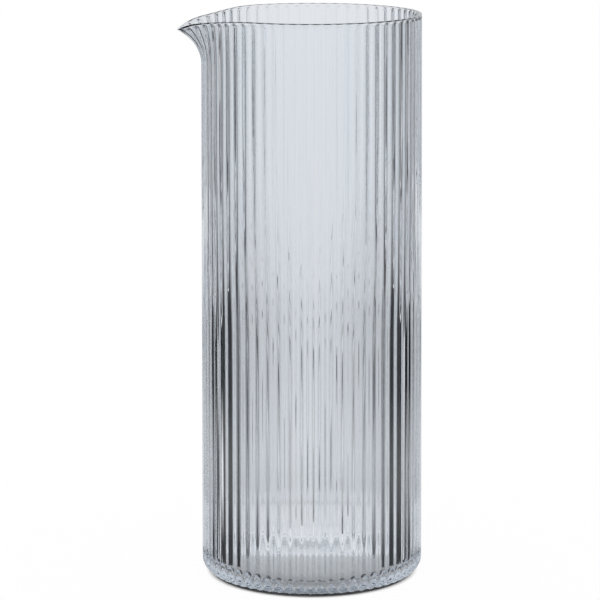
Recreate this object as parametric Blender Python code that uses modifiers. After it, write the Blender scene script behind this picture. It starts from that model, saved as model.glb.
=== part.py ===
"""Ribbed glass milk jug with no handle: one blown body with a pulled pouring lip.

Metres, +Z up. The body's axis is Z, its underside lies on Z = 0 and the lip points to -X.
"""

import math

import bpy
from mathutils import Vector

# Body, measured over the crests of the ribs
HEIGHT = 0.236
RIM_RADIUS = 0.0455
FOOT_RADIUS = 0.0465
RIM_WALL = 0.0015
FOOT_WALL = 0.0018
FLOOR = 0.0032
FOOT_ROUND = 0.006
FLOOR_ROUND = 0.005

# Ribs of the mould, with a crest on the lip's centre line
RIB_COUNT = 60
RIM_RIB_DEPTH = 0.0009
FOOT_RIB_DEPTH = 0.0012
RIM_BAND = 0.0005
RIB_FADE = 0.001
INNER_RIBS_FROM = 0.1
INNER_RIBS_FULL = 0.2

# Pouring lip, pulled out between two fingers that draw the rim in on each side
LIP_LENGTH = 0.0197
LIP_BEND = 1.63
LIP_REACH = 0.0103
LIP_PULL_ANGLE = math.radians(23.6)
LIP_PINCH = 0.0082
LIP_PINCH_ANGLE = math.radians(48.9)
LIP_DROP = 0.0067
LIP_DROP_ANGLE = math.radians(12.1)
LIP_SAG = 0.0032
LIP_SAG_ANGLE = math.radians(58.8)

# Facets of the curved faces
FACETS_PER_RIB = 4
FOOT_FACETS = 4
FLOOR_FACETS = 3
RIM_FACETS = 4
LIP_ROWS = 3
LIP_ROW_SPACING = 1.5

WELD = 0.00001
SHARP_ANGLE = math.radians(40)
GLASS_COLOUR = (0.80, 0.86, 0.92, 1.0)
GLASS_ROUGHNESS = 0.02
GLASS_IOR = 1.5


def from_foot_to_rim(at_foot, at_rim, z):
    """A size that changes evenly with the height from the foot to the rim."""
    return at_foot + (at_rim - at_foot) * z / HEIGHT


def outer_radius(z):
    """Radius over the rib crests: the body narrows a little from the foot to the rim."""
    return from_foot_to_rim(FOOT_RADIUS, RIM_RADIUS, z)


def inner_radius(z):
    """Radius inside: the blown wall thins out from the foot to the rim."""
    return outer_radius(z) - from_foot_to_rim(FOOT_WALL, RIM_WALL, z)


def arc(centre_r, centre_z, radius, start, end, facets):
    """Points of a round corner in the profile, from the angle start to the angle end."""
    angles = [start + (end - start) * step / facets for step in range(facets + 1)]
    return [(centre_r + radius * math.cos(a), centre_z + radius * math.sin(a)) for a in angles]


def wall_rows():
    """Heights of the rings from the rim to the foot of the lip, closest together at the rim."""
    top = HEIGHT - RIM_WALL / 2
    start = top - RIM_BAND - RIB_FADE
    bottom = HEIGHT - LIP_LENGTH
    shares = [(row / LIP_ROWS) ** LIP_ROW_SPACING for row in range(LIP_ROWS + 1)]
    return [top, top - RIM_BAND] + [start + (bottom - start) * share for share in shares]


def inside_profile():
    """Inside of the jug with how far each ring is ribbed, from the middle of its floor to the rim."""
    corner_z = FLOOR + FLOOR_ROUND
    corner_r = inner_radius(corner_z) - FLOOR_ROUND
    corner = arc(corner_r, corner_z, FLOOR_ROUND, -math.pi / 2, 0, FLOOR_FACETS)
    heights = sorted(wall_rows() + [INNER_RIBS_FROM, INNER_RIBS_FULL])
    wall = [((inner_radius(z), z), inner_share(z) * outer_share(z)) for z in heights]
    return [((0, FLOOR), 0.0)] + [(point, 0.0) for point in corner] + wall


def rim_profile():
    """Fire-polished edge: the half round between the two ends of the walls."""
    top = wall_rows()[0]
    middle = (inner_radius(top) + outer_radius(top)) / 2
    edge = arc(middle, top, RIM_WALL / 2, math.pi, 0, RIM_FACETS)
    return [(point, 0.0) for point in edge[1:-1]]


def outside_profile():
    """Outside of the jug with how far each ring is ribbed, from the rim to the underside."""
    wall = [((outer_radius(z), z), outer_share(z)) for z in wall_rows()]
    corner_r = outer_radius(FOOT_ROUND) - FOOT_ROUND
    corner = arc(corner_r, FOOT_ROUND, FOOT_ROUND, 0, -math.pi / 2, FOOT_FACETS)
    foot = [(point, 1.0) for point in corner[:-1]]
    return wall + foot + [(corner[-1], 0.0), ((0, 0), 0.0)]


def outer_share(z):
    """The ribs run out below a plain band at the rim, where the fire polished them away."""
    top = HEIGHT - RIM_WALL / 2 - RIM_BAND
    return min(max((top - z) / RIB_FADE, 0.0), 1.0)


def inner_share(z):
    """The inside is smooth low down and follows the ribs more and more where the wall gets thinner."""
    share = (z - INNER_RIBS_FROM) / (INNER_RIBS_FULL - INNER_RIBS_FROM)
    return min(max(share, 0.0), 1.0)


def rib_valley(angle, z):
    """Depth across the even waves of the ribs, 0 on each crest and the full depth between two."""
    depth = from_foot_to_rim(FOOT_RIB_DEPTH, RIM_RIB_DEPTH, z)
    return depth * (1 - math.cos(angle * RIB_COUNT)) / 2


def cosine_bell(angle, half_width):
    """1 on the lip's centre line, falling to 0 at half_width."""
    if abs(angle) >= half_width:
        return 0.0
    return math.cos(math.pi / 2 * angle / half_width) ** 2


def round_bell(angle, width):
    """1 on the lip's centre line, falling to a third at width."""
    return math.exp(-((angle / width) ** 2))


def lip_move(angle, below_rim):
    """How far the glass moves outwards and downwards where the lip was pulled."""
    share = max(1 - max(below_rim, 0.0) / LIP_LENGTH, 0.0) ** LIP_BEND
    pulled = (LIP_REACH + LIP_PINCH) * round_bell(angle, LIP_PULL_ANGLE)
    pinched = LIP_PINCH * cosine_bell(angle, LIP_PINCH_ANGLE)
    dropped = (LIP_DROP - LIP_SAG) * round_bell(angle, LIP_DROP_ANGLE)
    sagged = LIP_SAG * cosine_bell(angle, LIP_SAG_ANGLE)
    return share * (pulled - pinched), share * (dropped + sagged)


def turned_body():
    """The plain turned vessel, with the share of ribbing of each ring as a vertex group."""
    rings = inside_profile() + rim_profile() + outside_profile()
    mesh = bpy.data.meshes.new("jug_profile")
    points = [(r, 0, z) for (r, z), share in rings]
    mesh.from_pydata(points, [(i, i + 1) for i in range(len(points) - 1)], [])
    profile = bpy.data.objects.new("jug_profile", mesh)
    bpy.context.scene.collection.objects.link(profile)
    ribbed = profile.vertex_groups.new(name="ribbed")
    for index, (point, share) in enumerate(rings):
        ribbed.add([index], share, "REPLACE")
    turn = profile.modifiers.new("turn", "SCREW")
    turn.steps = RIB_COUNT * FACETS_PER_RIB
    turn.render_steps = turn.steps
    turn.use_merge_vertices = True
    turn.merge_threshold = WELD
    graph = bpy.context.evaluated_depsgraph_get()
    turned = bpy.data.meshes.new_from_object(
        profile.evaluated_get(graph), preserve_all_data_layers=True, depsgraph=graph
    )
    bpy.data.objects.remove(profile)
    return turned


def press_ribs_and_pull_lip(mesh):
    """Moves each point of the turned vessel in by its rib valley and out by the lip."""
    normals = [vertex.normal.copy() for vertex in mesh.vertices]
    for vertex, normal in zip(mesh.vertices, normals):
        x, y, z = vertex.co
        from_lip = math.atan2(y, -x)
        share = vertex.groups[0].weight
        valley = share * rib_valley(from_lip, z)
        out, down = lip_move(from_lip, HEIGHT - z)
        radial = Vector((-math.cos(from_lip), math.sin(from_lip), 0))
        inwards = normal if normal.dot(radial) < 0 else -normal
        vertex.co = vertex.co + inwards * valley + radial * out - Vector((0, 0, down))


def glass_material():
    material = bpy.data.materials.new("pale_blue_glass")
    material.use_nodes = True
    shader = material.node_tree.nodes["Principled BSDF"]
    shader.inputs["Base Color"].default_value = GLASS_COLOUR
    shader.inputs["Metallic"].default_value = 0.0
    shader.inputs["Roughness"].default_value = GLASS_ROUGHNESS
    shader.inputs["IOR"].default_value = GLASS_IOR
    shader.inputs["Transmission Weight"].default_value = 1.0
    return material


for old in list(bpy.data.objects):
    bpy.data.objects.remove(old)

jug = bpy.data.collections.new("milk_jug")
bpy.context.scene.collection.children.link(jug)

body_mesh = turned_body()
press_ribs_and_pull_lip(body_mesh)
body_mesh.name = "jug_body"
body_mesh.materials.append(glass_material())
body_mesh.shade_smooth()
body_mesh.set_sharp_from_angle(angle=SHARP_ANGLE)
jug.objects.link(bpy.data.objects.new("jug_body", body_mesh))
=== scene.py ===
import math

import bpy
import numpy as np
from mathutils import Euler, Matrix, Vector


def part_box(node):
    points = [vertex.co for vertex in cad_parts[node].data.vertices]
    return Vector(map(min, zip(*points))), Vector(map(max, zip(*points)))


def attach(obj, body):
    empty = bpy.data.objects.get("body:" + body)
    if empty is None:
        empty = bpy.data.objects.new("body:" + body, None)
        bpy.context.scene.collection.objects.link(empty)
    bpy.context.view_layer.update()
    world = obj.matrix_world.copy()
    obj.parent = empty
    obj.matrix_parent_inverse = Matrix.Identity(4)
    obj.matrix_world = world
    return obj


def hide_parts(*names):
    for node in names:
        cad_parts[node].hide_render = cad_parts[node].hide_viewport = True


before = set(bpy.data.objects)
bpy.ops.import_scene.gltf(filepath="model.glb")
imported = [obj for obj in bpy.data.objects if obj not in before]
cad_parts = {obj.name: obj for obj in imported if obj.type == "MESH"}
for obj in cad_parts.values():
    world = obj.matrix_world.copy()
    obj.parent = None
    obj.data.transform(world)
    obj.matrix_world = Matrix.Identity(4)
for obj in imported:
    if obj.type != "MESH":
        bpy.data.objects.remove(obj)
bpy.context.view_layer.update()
scene = bpy.context.scene
scene.view_settings.view_transform = "Standard"


# Camera: a long lens about 1.3 m in front of the jug and a little above its rim, looking down on it.
# The tip of the lip is on the left, and the jug's axis stands a little right of the middle of the picture.
PICTURE_PX = 600
FOCAL_PX = 3085
SENSOR_MM = 36.0
AXIS_RIGHT_OF_MIDDLE_PX = 11.9
CAMERA_DISTANCE = 1.269
CAMERA_HEIGHT = 0.3588
CAMERA_TILT = math.radians(10.84)
CAMERA_AZIMUTH = math.radians(0.64)
CAMERA_ROLL = math.radians(-0.08)

camera_data = bpy.data.cameras.new("camera")
camera_data.sensor_width = SENSOR_MM
camera_data.lens = FOCAL_PX / PICTURE_PX * SENSOR_MM
camera = bpy.data.objects.new("camera", camera_data)
scene.collection.objects.link(camera)
camera.location = (
    CAMERA_DISTANCE * math.sin(CAMERA_AZIMUTH),
    -CAMERA_DISTANCE * math.cos(CAMERA_AZIMUTH),
    CAMERA_HEIGHT,
)
turn_left = math.atan(AXIS_RIGHT_OF_MIDDLE_PX / FOCAL_PX)
aim = Euler((math.pi / 2 - CAMERA_TILT, 0, CAMERA_AZIMUTH + turn_left)).to_matrix()
camera.rotation_euler = (aim @ Matrix.Rotation(CAMERA_ROLL, 3, "Z")).to_euler()
scene.camera = camera


# Jug body: the whole jug is one piece of clear soda-lime glass, blown into a mould with 60 upright ribs.
# The lip is pulled out of the soft rim between two fingers, the rim is melted smooth in a flame, and the
# middle of the base is pushed up a little so that the jug stands on its foot.
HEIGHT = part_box("jug_body")[1].z
RIM_RADIUS = 0.0455
FOOT_RADIUS = 0.0465
RIM_WALL = 0.0015
FOOT_WALL = 0.0018
RIM_EDGE = 0.0004
FLOOR = 0.0032
FLOOR_ROUND = 0.007
FOOT_ROUND = 0.006
PUSH_UP = 0.001

# Ribs, pressed in from the crests; the inside follows them only where the wall gets thinner
RIB_COUNT = 60
RIM_RIB_DEPTH = 0.0009
FOOT_RIB_DEPTH = 0.0012
RIM_BAND = 0.0005
RIB_FADE = 0.001
FOOT_FADE_SHARE = 0.125
INNER_RIBS_FROM = 0.1
INNER_RIBS_FULL = 0.2

# Pouring lip: how far the glass was pulled out, pinched in beside it and let down, over which angles
LIP_LENGTH = 0.0197
LIP_BEND = 1.63
LIP_REACH = 0.0101
LIP_PULL_ANGLE = math.radians(23.6)
LIP_PINCH = 0.0082
LIP_PINCH_ANGLE = math.radians(48.9)
LIP_DROP = 0.0067
LIP_DROP_ANGLE = math.radians(12.1)
LIP_SAG = 0.0032
LIP_SAG_ANGLE = math.radians(58.8)

# Mesh rows and columns; the rows of the lip stand closest together at the rim
POINTS_PER_RIB = 14
LIP_ROWS = 20
LIP_ROW_SPACING = 1.6
WALL_ROWS = 36
ARC_ROWS = 12
FLOOR_ROWS = 4


def from_foot_to_rim(at_foot, at_rim, z):
    """A size that changes evenly with the height from the foot to the rim."""
    return at_foot + (at_rim - at_foot) * z / HEIGHT


def outer_radius(z):
    """Radius over the rib crests: the body narrows a little from the foot to the rim."""
    return from_foot_to_rim(FOOT_RADIUS, RIM_RADIUS, z)


def inner_radius(z):
    """Radius inside: the blown wall thins out from the foot to the rim."""
    return outer_radius(z) - from_foot_to_rim(FOOT_WALL, RIM_WALL, z)


def arc(centre_r, centre_z, radius, start, end):
    """Points of a round corner in the profile, from the angle start to the angle end."""
    angle = np.linspace(start, end, ARC_ROWS + 1)
    return np.stack([centre_r + radius * np.cos(angle), centre_z + radius * np.sin(angle)], 1)


def outer_share(z):
    """The ribs run out below a plain band at the rim, where the fire polished them away."""
    return np.clip((HEIGHT - RIM_BAND - z) / RIB_FADE, 0, 1)


def inner_share(z):
    """The inside is smooth low down and follows the ribs smoothly more and more higher up."""
    share = np.clip((z - INNER_RIBS_FROM) / (INNER_RIBS_FULL - INNER_RIBS_FROM), 0, 1)
    return share * share * (3 - 2 * share)


def jug_profile():
    """Radius and height of each ring from the middle of the floor over the rim to the underside.

    The second list says how far each ring is ribbed, negative inside, where a valley bulges inwards.
    """
    top = HEIGHT - RIM_EDGE
    lip_end = HEIGHT - LIP_LENGTH
    corner_z = FLOOR + FLOOR_ROUND
    lip = top + (lip_end - top) * np.linspace(0, 1, LIP_ROWS + 1) ** LIP_ROW_SPACING
    z_in = np.concatenate([lip, np.linspace(lip_end, corner_z, WALL_ROWS + 1)[1:-1]])[::-1]
    z_out = np.concatenate([lip, np.linspace(lip_end, FOOT_ROUND, WALL_ROWS + 1)[1:-1]])

    corner_r = inner_radius(corner_z) - FLOOR_ROUND
    floor_r = np.linspace(0, corner_r, FLOOR_ROWS + 1)[:-1]
    floor_rings = np.stack([floor_r, np.full(FLOOR_ROWS, FLOOR)], 1)
    corner = arc(corner_r, corner_z, FLOOR_ROUND, -math.pi / 2, 0)
    inside = np.stack([inner_radius(z_in), z_in], 1)
    rim = np.concatenate([
        arc(inner_radius(top) + RIM_EDGE, top, RIM_EDGE, math.pi, math.pi / 2)[1:],
        arc(outer_radius(top) - RIM_EDGE, top, RIM_EDGE, math.pi / 2, 0)[:-1],
    ])
    outside = np.stack([outer_radius(z_out), z_out], 1)
    foot = arc(outer_radius(FOOT_ROUND) - FOOT_ROUND, FOOT_ROUND, FOOT_ROUND, 0, -math.pi / 2)
    inward = np.linspace(1, 0, ARC_ROWS + 1)[1:]
    underside = np.stack([inward * foot[-1, 0], PUSH_UP * (1 - inward ** 2)], 1)

    points = np.concatenate([floor_rings, corner, inside, rim, outside, foot, underside])
    share = np.concatenate([
        np.zeros(len(floor_rings) + len(corner)),
        -inner_share(z_in) * outer_share(z_in),
        np.zeros(len(rim)),
        outer_share(z_out),
        np.clip(np.linspace(1, 0, len(foot)) / FOOT_FADE_SHARE, 0, 1),
        np.zeros(len(underside)),
    ])
    return points, share


def cosine_bell(angle, half_width):
    """1 on the lip's centre line, falling to 0 at half_width."""
    return np.where(abs(angle) < half_width, np.cos(np.pi / 2 * angle / half_width) ** 2, 0)


def round_bell(angle, width):
    """1 on the lip's centre line, falling to a third at width."""
    return np.exp(-((angle / width) ** 2))


def lip_move(angle, below_rim):
    """How far the glass moves outwards and downwards where the lip was pulled."""
    share = np.clip(1 - np.maximum(below_rim, 0) / LIP_LENGTH, 0, None) ** LIP_BEND
    pulled = (LIP_REACH + LIP_PINCH) * round_bell(angle, LIP_PULL_ANGLE)
    pinched = LIP_PINCH * cosine_bell(angle, LIP_PINCH_ANGLE)
    dropped = (LIP_DROP - LIP_SAG) * round_bell(angle, LIP_DROP_ANGLE)
    sagged = LIP_SAG * cosine_bell(angle, LIP_SAG_ANGLE)
    return share * (pulled - pinched), share * (dropped + sagged)


def jug_mesh():
    """Turns the profile, presses the ribs along its normals and pulls the lip to -X."""
    points, share = jug_profile()
    columns = RIB_COUNT * POINTS_PER_RIB
    angle = -np.pi + 2 * np.pi * np.arange(columns) / columns
    tangent = np.gradient(points, axis=0)
    normal = np.stack([-tangent[:, 1], tangent[:, 0]], 1)
    normal /= np.linalg.norm(normal, axis=1)[:, None]
    depth = share * from_foot_to_rim(FOOT_RIB_DEPTH, RIM_RIB_DEPTH, points[:, 1])
    valley = depth[:, None] * (1 - np.cos(angle * RIB_COUNT)) / 2
    out, down = lip_move(angle[None, :], HEIGHT - points[:, 1:])
    r = points[:, :1] - normal[:, :1] * valley + out
    z = points[:, 1:] - normal[:, 1:] * valley - down
    rings = np.stack([-r * np.cos(angle), r * np.sin(angle), z], 2)[1:-1]
    middles = [(0, 0, points[0, 1]), (0, 0, points[-1, 1])]
    verts = rings.reshape(-1, 3).tolist() + middles

    floor_middle, base_middle = len(verts) - 2, len(verts) - 1
    last_ring = (len(rings) - 1) * columns
    faces = []
    for j in range(columns):
        k = (j + 1) % columns
        faces.append((floor_middle, k, j))
        faces.append((base_middle, last_ring + j, last_ring + k))
        for ring in range(0, last_ring, columns):
            faces.append((ring + j, ring + k, ring + columns + k, ring + columns + j))
    mesh = bpy.data.meshes.new("jug_glass")
    mesh.from_pydata(verts, [], faces)
    mesh.update()
    mesh.shade_smooth()
    return mesh


def linear(hex_colour):
    """An sRGB hex colour as the linear red, green, blue and alpha that a shader takes."""
    channels = [int(hex_colour[i:i + 2], 16) / 255 for i in (1, 3, 5)]
    return [c / 12.92 if c <= 0.04045 else ((c + 0.055) / 1.055) ** 2.4 for c in channels] + [1.0]


def add_node(tree, kind, settings=None, links=None):
    """Adds a shader node, sets its properties or sockets, and links sockets of other nodes to it.

    A colour Mix node has its share on socket 0, its two colours on 6 and 7 and the mix on output 2.
    """
    node = tree.nodes.new(kind)
    for name, value in (settings or {}).items():
        if isinstance(name, str) and hasattr(node, name):
            setattr(node, name, value)
        else:
            node.inputs[name].default_value = value
    for name, source in (links or {}).items():
        tree.links.new(source, node.inputs[name])
    return node


jug_glass = bpy.data.objects.new("jug_glass", jug_mesh())
scene.collection.objects.link(jug_glass)

# Clear soda-lime glass with a cool cast where it is thick, faint upright streaks drawn out by the blowing,
# a hardly visible waviness of the fire-polished skin and a few seeds, the small bubbles left in the glass.
GLASS_CLEAR = "#ffffff"
GLASS_STREAK = "#f4f8fc"
GLASS_CAST = "#dfe9f4"
CAST_DENSITY = 12.0
STREAK_WIDTH = 0.006
STREAK_STRETCH = 30
WAVE_LENGTH = 0.016
WAVE_HEIGHT = 0.000004
SEED_SPACING = 0.03
SEED_RADIUS = 0.0006
SEED_HEIGHT = 0.0002
SEED_SHARE = 0.08

glass = bpy.data.materials.new("blown_soda_lime_glass")
glass.use_nodes = True
tree = glass.node_tree
shader = tree.nodes["Principled BSDF"]
shader.inputs["Roughness"].default_value = 0.0
shader.inputs["IOR"].default_value = 1.5
shader.inputs["Transmission Weight"].default_value = 1.0
place = add_node(tree, "ShaderNodeTexCoord")
drawn = add_node(
    tree, "ShaderNodeVectorMath", {"operation": "MULTIPLY", 1: (1, 1, 1 / STREAK_STRETCH)},
    {0: place.outputs["Object"]},
)
streaks = add_node(
    tree, "ShaderNodeTexNoise", {"Scale": 1 / STREAK_WIDTH, "Detail": 3.0}, {"Vector": drawn.outputs[0]}
)
streaked = add_node(
    tree, "ShaderNodeMix", {"data_type": "RGBA", 6: linear(GLASS_CLEAR), 7: linear(GLASS_STREAK)},
    {0: streaks.outputs[0]},
)
tree.links.new(streaked.outputs[2], shader.inputs["Base Color"])
waves = add_node(
    tree, "ShaderNodeTexNoise", {"Scale": 1 / WAVE_LENGTH, "Detail": 1.0},
    {"Vector": place.outputs["Object"]},
)
cells = add_node(
    tree, "ShaderNodeTexVoronoi", {"Scale": 1 / SEED_SPACING}, {"Vector": place.outputs["Object"]}
)
seed_dome = add_node(
    tree, "ShaderNodeMapRange",
    {"From Min": 0.0, "From Max": SEED_RADIUS / SEED_SPACING,
     "To Min": SEED_HEIGHT / WAVE_HEIGHT, "To Max": 0.0},
    {0: cells.outputs["Distance"]},
)
has_seed = add_node(
    tree, "ShaderNodeMath", {"operation": "LESS_THAN", 1: SEED_SHARE}, {0: cells.outputs["Color"]}
)
skin = add_node(
    tree, "ShaderNodeMath", {"operation": "MULTIPLY_ADD"},
    {0: seed_dome.outputs[0], 1: has_seed.outputs[0], 2: waves.outputs[0]},
)
bump = add_node(
    tree, "ShaderNodeBump", {"Strength": 1.0, "Distance": WAVE_HEIGHT}, {"Height": skin.outputs[0]}
)
tree.links.new(bump.outputs[0], shader.inputs["Normal"])
cast = add_node(
    tree, "ShaderNodeVolumeAbsorption", {"Color": linear(GLASS_CAST), "Density": CAST_DENSITY}
)
tree.links.new(cast.outputs[0], tree.nodes["Material Output"].inputs["Volume"])
jug_glass.data.materials.append(glass)
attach(jug_glass, "root")
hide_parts("jug_body")


# Floor: a sheet of white paper, plain white to the camera, with the thin soft shadow where the jug touches
# it, partly the real shadow and partly a painted contact shadow in the paper's colour. The glass shows it as
# a small pale board under the jug that glows with painted light and shade: painted shade in front and along
# its far edge, the painted shadow of the foot on it, and past the board the studio beyond.
PAPER_COLOUR = "#e7e7e7"
FLOOR_SIZE = 6.0
FLOOR_DROP = 0.0002
OPEN_FLOOR = 0.95
SHADOW_HALF_WIDTH = 0.0450
SHADOW_HALF_DEPTH = 0.0468
SHADOW_FADE = 0.07
CONTACT_SHADE = 0.15

# Board: painted light and shade by the distance behind the axis, and the ring of the foot's painted shadow by
# its radius
BOARD_COLOUR = "#fafbfd"
BOARD_HALF_WIDTH = 0.048
BOARD_BACK = 0.108
BOARD_PAINTED_SHADING = [
    (-0.05, 0.3), (-0.03, 0.34), (0.0, 0.44), (0.011, 0.5), (0.0125, 0.95), (0.045, 0.9),
    (0.052, 0.8), (0.104, 0.8), (0.105, 0.5), (BOARD_BACK, 0.5),
]
PAINTED_FOOT_SHADOW = [(0.0440, 0.0), (0.0450, 0.85), (0.0475, 0.85), (0.0490, 0.0)]
FOOT_SHADOW_FULL = -0.03
FOOT_SHADOW_END = 0.0


def grey_ramp(tree, value, stops, interpolation="LINEAR"):
    """A grey that follows a value through stops of value and brightness."""
    low, high = stops[0][0], stops[-1][0]
    share = add_node(tree, "ShaderNodeMapRange", {"From Min": low, "From Max": high}, {0: value})
    ramp = add_node(tree, "ShaderNodeValToRGB", {}, {0: share.outputs[0]})
    ramp.color_ramp.interpolation = interpolation
    elements = ramp.color_ramp.elements
    elements.remove(elements[-1])
    for index, (at, grey) in enumerate(stops):
        element = elements[0] if index == 0 else elements.new(1.0)
        element.position = (at - low) / (high - low)
        element.color = (grey, grey, grey, 1)
    return ramp.outputs[0]


bpy.ops.mesh.primitive_plane_add(size=FLOOR_SIZE, location=(0, 0, -FLOOR_DROP))
floor = bpy.context.object
floor.name = "floor"

# Matt white paper: to the camera it glows evenly white, and only the shaded paper shows its own colour, which
# is darkened next to the foot as a painted contact shadow.
paper = bpy.data.materials.new("white_paper")
paper.use_nodes = True
tree = paper.node_tree
sheet = tree.nodes["Principled BSDF"]
sheet.inputs["Roughness"].default_value = 1.0
sheet.inputs["Specular IOR Level"].default_value = 0.0
path = add_node(tree, "ShaderNodeLightPath")
place = add_node(tree, "ShaderNodeNewGeometry")
xyz = add_node(tree, "ShaderNodeSeparateXYZ", {}, {0: place.outputs["Position"]})

shadow_place = add_node(
    tree, "ShaderNodeVectorMath",
    {"operation": "MULTIPLY", 1: (1 / SHADOW_HALF_WIDTH, 1 / SHADOW_HALF_DEPTH, 0)},
    {0: place.outputs["Position"]},
)
shadow_reach = add_node(
    tree, "ShaderNodeVectorMath", {"operation": "LENGTH"}, {0: shadow_place.outputs[0]}
)
out_of_shadow = add_node(
    tree, "ShaderNodeMapRange", {"From Min": 1 - SHADOW_FADE, "From Max": 1.0, "To Max": OPEN_FLOOR},
    {0: shadow_reach.outputs["Value"]},
)
# Painted contact shadow: the paper's colour darkens towards the foot, down to CONTACT_SHADE.
painted_contact_shadow = add_node(
    tree, "ShaderNodeMapRange", {"From Min": 1 - SHADOW_FADE, "From Max": 1.0, "To Min": CONTACT_SHADE},
    {0: shadow_reach.outputs["Value"]},
)
paper_with_painted_shadow = add_node(
    tree, "ShaderNodeMix", {"data_type": "RGBA", 6: (0, 0, 0, 1), 7: linear(PAPER_COLOUR)},
    {0: painted_contact_shadow.outputs[0]},
)
tree.links.new(paper_with_painted_shadow.outputs[2], sheet.inputs["Base Color"])
white_to_camera = add_node(
    tree, "ShaderNodeMath", {"operation": "MULTIPLY"},
    {0: path.outputs["Is Camera Ray"], 1: out_of_shadow.outputs[0]},
)
white = add_node(tree, "ShaderNodeEmission", {"Strength": 1.0})
open_paper = add_node(
    tree, "ShaderNodeMixShader", {}, {0: white_to_camera.outputs[0], 1: sheet.outputs[0], 2: white.outputs[0]}
)

from_axis = add_node(
    tree, "ShaderNodeVectorMath", {"operation": "LENGTH"}, {0: place.outputs["Position"]}
)
# Painted shadow of the foot: a dark ring round the axis on the board, only in front of the axis.
in_front = add_node(
    tree, "ShaderNodeMapRange", {"From Min": FOOT_SHADOW_END, "From Max": FOOT_SHADOW_FULL},
    {0: xyz.outputs["Y"]},
)
painted_foot_shade = add_node(
    tree, "ShaderNodeMath", {"operation": "MULTIPLY"},
    {0: grey_ramp(tree, from_axis.outputs["Value"], PAINTED_FOOT_SHADOW), 1: in_front.outputs[0]},
)
# The board glows: its brightness is painted light and shade along Y, darkened further by the foot's painted
# shadow.
painted_board_shading = add_node(
    tree, "ShaderNodeMix", {"data_type": "RGBA", 7: (0, 0, 0, 1)},
    {0: painted_foot_shade.outputs[0], 6: grey_ramp(tree, xyz.outputs["Y"], BOARD_PAINTED_SHADING)},
)
board = add_node(
    tree, "ShaderNodeEmission", {"Color": linear(BOARD_COLOUR)}, {"Strength": painted_board_shading.outputs[2]}
)
across = add_node(tree, "ShaderNodeMath", {"operation": "ABSOLUTE"}, {0: xyz.outputs["X"]})
past_side = add_node(
    tree, "ShaderNodeMath", {"operation": "GREATER_THAN", 1: BOARD_HALF_WIDTH}, {0: across.outputs[0]}
)
past_back = add_node(
    tree, "ShaderNodeMath", {"operation": "GREATER_THAN", 1: BOARD_BACK}, {0: xyz.outputs["Y"]}
)
past_board = add_node(
    tree, "ShaderNodeMath", {"operation": "MAXIMUM"}, {0: past_side.outputs[0], 1: past_back.outputs[0]}
)
clear = add_node(tree, "ShaderNodeBsdfTransparent")
board_in_glass = add_node(
    tree, "ShaderNodeMixShader", {}, {0: past_board.outputs[0], 1: board.outputs[0], 2: clear.outputs[0]}
)
seen_in_glass = add_node(
    tree, "ShaderNodeMath", {"operation": "MAXIMUM"},
    {0: path.outputs["Is Glossy Ray"], 1: path.outputs["Is Transmission Ray"]},
)
surface = add_node(
    tree, "ShaderNodeMixShader", {},
    {0: seen_in_glass.outputs[0], 1: open_paper.outputs[0], 2: board_in_glass.outputs[0]},
)
tree.links.new(surface.outputs[0], tree.nodes["Material Output"].inputs["Surface"])
floor.data.materials.append(paper)


# Studio: a white room to the camera and to the floor. The glass shows what stands round the jug in it:
# a pale wall behind, dark flags to both sides that draw the dark stripes, with narrow strip lights between
# them, side lights, the pale back of the room, and low down the dark gap under the table's edge.
WALL_COLOUR = "#f8fafd"
FLAG_COLOUR = "#13161c"
ROOM_COLOUR = "#ffffff"
FLOOR_LIGHT = 0.3

# Angles round the jug in degrees from straight behind it, positive to the right, and brightness
WALL_HALF_WIDTH = 34
WALL_EDGE_SHADE = 0.55
SIDE_LIGHT_END = 140
BACK_LIGHT = 0.6
STRIP_WIDTH = 3
STRIP_LIGHT = 0.9


def around_jug(wall, wall_end, flag, flag_end, side_light, strips):
    """Stops of angle and brightness round the jug: back, side lights, flags, strip lights and wall."""
    edge = wall * WALL_EDGE_SHADE
    stops = [
        (-180, BACK_LIGHT), (-SIDE_LIGHT_END, side_light), (-flag_end, flag),
        (-wall_end, edge), (-WALL_HALF_WIDTH, wall), (WALL_HALF_WIDTH, edge), (wall_end, flag),
        (flag_end, side_light), (SIDE_LIGHT_END, BACK_LIGHT), (180, BACK_LIGHT),
    ]
    for middle in strips:
        stops += [(middle - STRIP_WIDTH / 2, STRIP_LIGHT), (middle + STRIP_WIDTH / 2, flag)]
    return sorted(stops)


HIGH = around_jug(
    wall=0.81, wall_end=43, flag=0.04, flag_end=100, side_light=0.6, strips=(-61.5, -52.5, 52.5, 61.5)
)
MIDDLE = around_jug(
    wall=0.78, wall_end=42, flag=0.0, flag_end=124, side_light=0.9, strips=(-61.5, 61.5)
)
LOW = around_jug(
    wall=0.83, wall_end=52, flag=0.07, flag_end=114, side_light=0.85, strips=(-67.5, 61.5, 100.5)
)
UNDER_TABLE = [(-180, 0.03), (180, 0.03)]
NEAR_FLOOR = [(-180, 0.75), (180, 0.75)]

# Bands below the high one, each with the angles above the horizon where it starts and where it is full
BANDS = [
    (MIDDLE, -10.2, -10.7),
    (LOW, -12.3, -13.7),
    (MIDDLE, -14.2, -15.2),
    (UNDER_TABLE, -20.0, -24.0),
    (NEAR_FLOOR, -46.0, -52.0),
]
WALL_TOP_GAIN = 1.07
WALL_TOP_FROM = -10.0
WALL_TOP_FULL = -6.0
CEILING_SHADE = 0.85
CEILING_FROM = 70.0
CEILING_FULL = 85.0
GLASS_BOUNCES = 32

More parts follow.
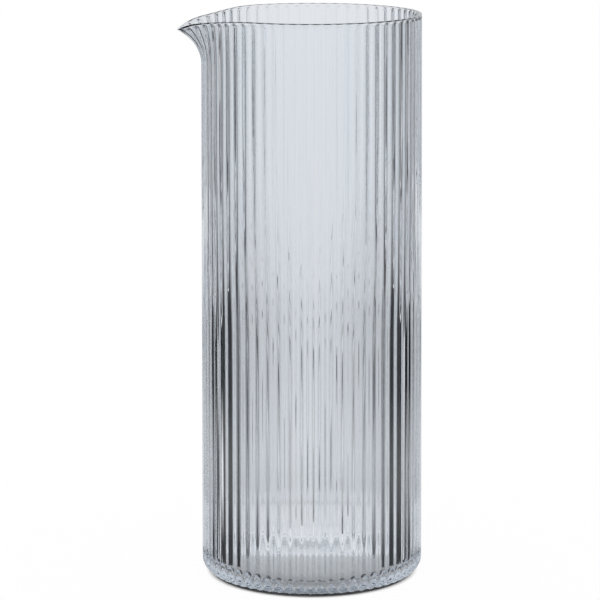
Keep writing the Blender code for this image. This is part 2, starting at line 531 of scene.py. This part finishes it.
world = bpy.data.worlds.new("studio")
scene.world = world
world.use_nodes = True
tree = world.node_tree
background = tree.nodes["Background"]
path = add_node(tree, "ShaderNodeLightPath")
towards = add_node(tree, "ShaderNodeTexCoord")
xyz = add_node(tree, "ShaderNodeSeparateXYZ", {}, {0: towards.outputs["Generated"]})
turn = add_node(
    tree, "ShaderNodeMath", {"operation": "ARCTAN2"}, {0: xyz.outputs["X"], 1: xyz.outputs["Y"]}
)
turn_angle = add_node(tree, "ShaderNodeMath", {"operation": "DEGREES"}, {0: turn.outputs[0]})
rise = add_node(tree, "ShaderNodeMath", {"operation": "ARCSINE"}, {0: xyz.outputs["Z"]})
rise_angle = add_node(tree, "ShaderNodeMath", {"operation": "DEGREES"}, {0: rise.outputs[0]})

around = grey_ramp(tree, turn_angle.outputs[0], HIGH, "CONSTANT")
for tones, start, full in BANDS:
    in_band = add_node(
        tree, "ShaderNodeMapRange", {"From Min": start, "From Max": full}, {0: rise_angle.outputs[0]}
    )
    band = grey_ramp(tree, turn_angle.outputs[0], tones, "CONSTANT")
    mixed = add_node(
        tree, "ShaderNodeMix", {"data_type": "RGBA"}, {0: in_band.outputs[0], 6: around, 7: band}
    )
    around = mixed.outputs[2]

wall_top = add_node(
    tree, "ShaderNodeMapRange",
    {"From Min": WALL_TOP_FROM, "From Max": WALL_TOP_FULL, "To Min": 1.0, "To Max": WALL_TOP_GAIN},
    {0: rise_angle.outputs[0]},
)
brightness = add_node(
    tree, "ShaderNodeMath", {"operation": "MULTIPLY"}, {0: around, 1: wall_top.outputs[0]}
)
flags_and_wall = add_node(
    tree, "ShaderNodeMix",
    {"data_type": "RGBA", "clamp_factor": False, 6: linear(FLAG_COLOUR), 7: linear(WALL_COLOUR)},
    {0: brightness.outputs[0]},
)
overhead = add_node(
    tree, "ShaderNodeMapRange",
    {"From Min": CEILING_FROM, "From Max": CEILING_FULL, "To Max": CEILING_SHADE},
    {0: rise_angle.outputs[0]},
)
studio = add_node(
    tree, "ShaderNodeMix", {"data_type": "RGBA", 7: (0, 0, 0, 1)},
    {0: overhead.outputs[0], 6: flags_and_wall.outputs[2]},
)
seen_in_glass = add_node(
    tree, "ShaderNodeMath", {"operation": "MAXIMUM"},
    {0: path.outputs["Is Glossy Ray"], 1: path.outputs["Is Transmission Ray"]},
)
lights_floor = add_node(
    tree, "ShaderNodeMath", {"operation": "GREATER_THAN", 1: 0.5}, {0: path.outputs["Diffuse Depth"]}
)
shows_studio = add_node(
    tree, "ShaderNodeMath", {"operation": "SUBTRACT", "use_clamp": True},
    {0: seen_in_glass.outputs[0], 1: lights_floor.outputs[0]},
)
colour = add_node(
    tree, "ShaderNodeMix", {"data_type": "RGBA", 6: linear(ROOM_COLOUR)},
    {0: shows_studio.outputs[0], 7: studio.outputs[2]},
)
tree.links.new(colour.outputs[2], background.inputs["Color"])
strength = add_node(
    tree, "ShaderNodeMath", {"operation": "MULTIPLY_ADD", 1: FLOOR_LIGHT, 2: 1.0},
    {0: lights_floor.outputs[0]},
)
tree.links.new(strength.outputs[0], background.inputs["Strength"])

# Light passes many skins of the ribbed glass before it gets out of the foot and the lip
scene.cycles.max_bounces = GLASS_BOUNCES
scene.cycles.transmission_bounces = GLASS_BOUNCES
scene.cycles.glossy_bounces = GLASS_BOUNCES
